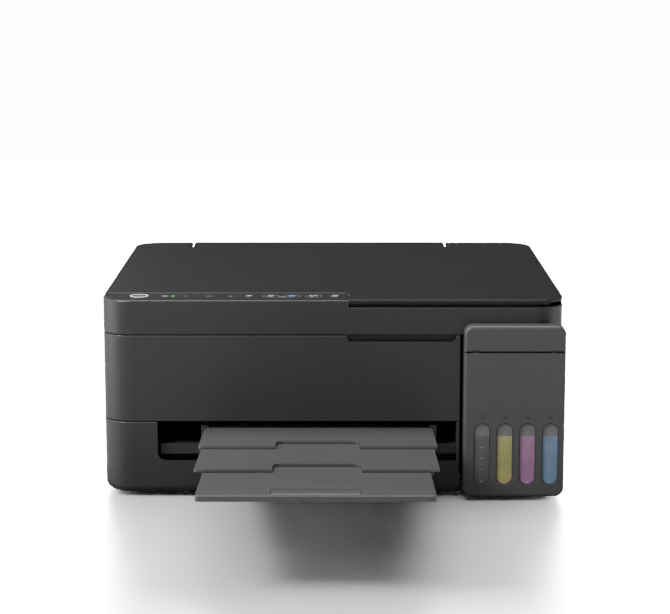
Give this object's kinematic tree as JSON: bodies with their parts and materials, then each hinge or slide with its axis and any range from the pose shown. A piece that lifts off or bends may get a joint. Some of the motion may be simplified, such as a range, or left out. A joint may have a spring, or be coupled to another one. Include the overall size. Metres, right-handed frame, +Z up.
{
  "type": "inkjet printer",
  "caption": "Ink-tank multifunction printer with flatbed scanner, document lid, control strip, front tank unit, rear paper feed and telescopic output tray.",
  "frame": {"origin": "middle of the footprint at the floor, output tray extended", "axes": "+X to the printer's right as seen from the front, +Y to its rear, +Z up"},
  "size_m": [0.372, 0.5838, 0.1624],
  "materials": {
    "body_plastic": "fine matte charcoal ABS",
    "base_plastic": "fine matte charcoal ABS",
    "lid_plastic": "fine matte charcoal ABS",
    "tank_plastic": "satin dark grey plastic",
    "clear_tank": "translucent frosted polypropylene",
    "tray_plastic": "satin charcoal plastic",
    "inner_plastic": "black moulded plastic",
    "key_plastic": "satin key caps",
    "cap_rubber": "soft rubber",
    "foot_rubber": "matt rubber",
    "roller_rubber": "matt grey rubber on a shaft",
    "sheet_steel": "zinc plated sheet",
    "bright_steel": "ground steel",
    "belt_rubber": "toothed belt",
    "motor_can": "plated motor can",
    "white_gear": "natural acetal",
    "brass_part": "turned brass",
    "board_green": "circuit board",
    "bed_glass": "clear float glass",
    "mat_white": "white pressure pad",
    "light_green": "green light pipe",
    "tube_clear": "flexible ink tube"
  },
  "bodies": {
    "base": {"lower_case": "base_plastic", "upper_case": "base_plastic", "rubber_feet": "foot_rubber", "tank_housing": "tank_plastic", "ink_tank_block": "clear_tank", "chassis": "sheet_steel", "chassis_screws": "bright_steel", "carriage_rail": "sheet_steel", "carriage_belt": "belt_rubber", "carriage_motor": "motor_can", "feed_motor": "motor_can", "platen": "inner_plastic", "star_wheel_bar": "inner_plastic", "pinch_rollers": "inner_plastic", "capping_station": "inner_plastic", "waste_ink_box": "inner_plastic", "ink_tubes": "tube_clear", "main_board": "board_green", "power_supply": "inner_plastic", "power_inlet": "inner_plastic", "usb_port": "inner_plastic", "feed_frame": "inner_plastic"},
    "scanner": {"scanner_base": "body_plastic", "scanner_top_frame": "body_plastic", "scanner_glass": "bed_glass", "scan_rail": "bright_steel", "scan_motor": "motor_can", "control_panel": "body_plastic", "status_light": "light_green"},
    "lid": {"document_lid": "lid_plastic", "document_mat": "mat_white"},
    "scan_bar": {"scan_carriage": "inner_plastic"},
    "tank_cover": {"tank_lid": "tank_plastic"},
    "tray_1": {"tray_stage_1": "tray_plastic"},
    "tray_2": {"tray_stage_2": "tray_plastic"},
    "tray_3": {"tray_stage_3": "tray_plastic"},
    "stopper": {"tray_stopper": "tray_plastic"},
    "carriage": {"print_carriage": "inner_plastic", "print_head": "bright_steel"},
    "drive_pulley": {"motor_pulley": "brass_part"},
    "return_pulley": {"idler_pulley": "white_gear"},
    "feed_roll": {"feed_roller": "roller_rubber", "feed_gear": "white_gear"},
    "pinion": {"feed_pinion": "brass_part"},
    "eject_roll": {"eject_roller": "roller_rubber"},
    "pickup_roll": {"pickup_roller": "roller_rubber"},
    "guard": {"feeder_guard": "body_plastic"},
    "side_guide": {"edge_guide": "inner_plastic"},
    "support": {"paper_support": "lid_plastic"},
    "extension": {"support_extension": "lid_plastic"},
    "cap_black": {"cap_black": "cap_rubber"},
    "cap_yellow": {"cap_yellow": "cap_rubber"},
    "cap_magenta": {"cap_magenta": "cap_rubber"},
    "cap_cyan": {"cap_cyan": "cap_rubber"},
    "power_button": {"power_button": "key_plastic"},
    "wireless_button": {"wireless_button": "key_plastic"},
    "page_button": {"page_button": "key_plastic"},
    "mono_copy_button": {"mono_copy_button": "key_plastic"},
    "colour_copy_button": {"colour_copy_button": "key_plastic"},
    "stop_button": {"stop_button": "key_plastic"}
  },
  "joints": [
    {"name": "scanner_open", "type": "hinge", "parent": "base", "child": "scanner", "pos_m": [0, 0.28435, 0.152], "axis": [-1, 0, 0], "range_deg": [0, 25]},
    {"name": "lid_open", "type": "hinge", "parent": "scanner", "child": "lid", "pos_m": [0, 0.27535, 0.1565], "axis": [-1, 0, 0], "range_deg": [0, 65]},
    {"name": "tank_lid_open", "type": "hinge", "parent": "base", "child": "tank_cover", "pos_m": [0.146, -0.05295, 0.12355], "axis": [1, 0, 0], "range_deg": [0, 95]},
    {"name": "cap_black_lift", "type": "slide", "parent": "base", "child": "cap_black", "axis": [0, 0, 1], "range_m": [0, 0.007]},
    {"name": "cap_yellow_lift", "type": "slide", "parent": "base", "child": "cap_yellow", "axis": [0, 0, 1], "range_m": [0, 0.007]},
    {"name": "cap_magenta_lift", "type": "slide", "parent": "base", "child": "cap_magenta", "axis": [0, 0, 1], "range_m": [0, 0.007]},
    {"name": "cap_cyan_lift", "type": "slide", "parent": "base", "child": "cap_cyan", "axis": [0, 0, 1], "range_m": [0, 0.007]},
    {"name": "tray_1_slide", "type": "slide", "parent": "base", "child": "tray_1", "axis": [0, 0.9976, -0.0698], "range_m": [0, 0.084]},
    {"name": "tray_2_slide", "type": "slide", "parent": "tray_1", "child": "tray_2", "axis": [0, 0.9976, -0.0698], "range_m": [0, 0.084]},
    {"name": "tray_3_slide", "type": "slide", "parent": "tray_2", "child": "tray_3", "axis": [0, 0.9976, -0.0698], "range_m": [0, 0.084]},
    {"name": "stopper_flip", "type": "hinge", "parent": "tray_3", "child": "stopper", "pos_m": [-0.0114, -0.28474, 0.06851], "axis": [1, 0, 0], "range_deg": [0, 100]},
    {"name": "carriage_slide", "type": "slide", "parent": "base", "child": "carriage", "axis": [-1, 0, 0], "range_m": [0, 0.255]},
    {"name": "drive_pulley_spin", "type": "hinge", "parent": "base", "child": "drive_pulley", "pos_m": [0.141, 0.16385, 0.107], "axis": [0, 1, 0], "continuous": true},
    {"name": "return_pulley_spin", "type": "hinge", "parent": "base", "child": "return_pulley", "pos_m": [-0.154, 0.16385, 0.107], "axis": [0, 1, 0], "continuous": true},
    {"name": "feed_roll_spin", "type": "hinge", "parent": "base", "child": "feed_roll", "pos_m": [0, 0.17435, 0.0525], "axis": [1, 0, 0], "continuous": true},
    {"name": "pinion_spin", "type": "hinge", "parent": "base", "child": "pinion", "pos_m": [-0.1695, 0.15738, 0.03553], "axis": [1, 0, 0], "continuous": true},
    {"name": "eject_roll_spin", "type": "hinge", "parent": "base", "child": "eject_roll", "pos_m": [0, 0.09835, 0.0525], "axis": [1, 0, 0], "continuous": true},
    {"name": "pickup_roll_spin", "type": "hinge", "parent": "base", "child": "pickup_roll", "pos_m": [0, 0.22656, 0.08607], "axis": [1, 0, 0], "continuous": true},
    {"name": "support_tilt", "type": "hinge", "parent": "base", "child": "support", "pos_m": [-0.013, 0.28685, 0.076], "axis": [-1, 0, 0], "range_deg": [0, 27]},
    {"name": "extension_slide", "type": "slide", "parent": "support", "child": "extension", "axis": [0, 0, 1], "range_m": [0, 0.062]},
    {"name": "guard_flip", "type": "hinge", "parent": "base", "child": "guard", "pos_m": [-0.013, 0.25735, 0.127], "axis": [1, 0, 0], "range_deg": [0, 38]},
    {"name": "side_guide_slide", "type": "slide", "parent": "base", "child": "side_guide", "axis": [1, 0, 0], "range_m": [0, 0.112]},
    {"name": "scan_bar_slide", "type": "slide", "parent": "scanner", "child": "scan_bar", "axis": [1, 0, 0], "range_m": [0, 0.312]},
    {"name": "power_button_press", "type": "slide", "parent": "scanner", "child": "power_button", "axis": [0, 0, 1], "range_m": [-0.0006, 0], "stiffness_N_per_m": 400},
    {"name": "wireless_button_press", "type": "slide", "parent": "scanner", "child": "wireless_button", "axis": [0, 0, 1], "range_m": [-0.0006, 0], "stiffness_N_per_m": 400},
    {"name": "page_button_press", "type": "slide", "parent": "scanner", "child": "page_button", "axis": [0, 0, 1], "range_m": [-0.0006, 0], "stiffness_N_per_m": 400},
    {"name": "mono_copy_button_press", "type": "slide", "parent": "scanner", "child": "mono_copy_button", "axis": [0, 0, 1], "range_m": [-0.0006, 0], "stiffness_N_per_m": 400},
    {"name": "colour_copy_button_press", "type": "slide", "parent": "scanner", "child": "colour_copy_button", "axis": [0, 0, 1], "range_m": [-0.0006, 0], "stiffness_N_per_m": 400},
    {"name": "stop_button_press", "type": "slide", "parent": "scanner", "child": "stop_button", "axis": [0, 0, 1], "range_m": [-0.0006, 0], "stiffness_N_per_m": 400}
  ],
  "couplings": [
    {"joint": "drive_pulley_spin", "follows": "carriage_slide", "rad_per_m": 181.82},
    {"joint": "return_pulley_spin", "follows": "carriage_slide", "rad_per_m": 181.82},
    {"joint": "pinion_spin", "follows": "feed_roll_spin", "ratio": -4},
    {"joint": "eject_roll_spin", "follows": "feed_roll_spin", "ratio": 1}
  ]
}
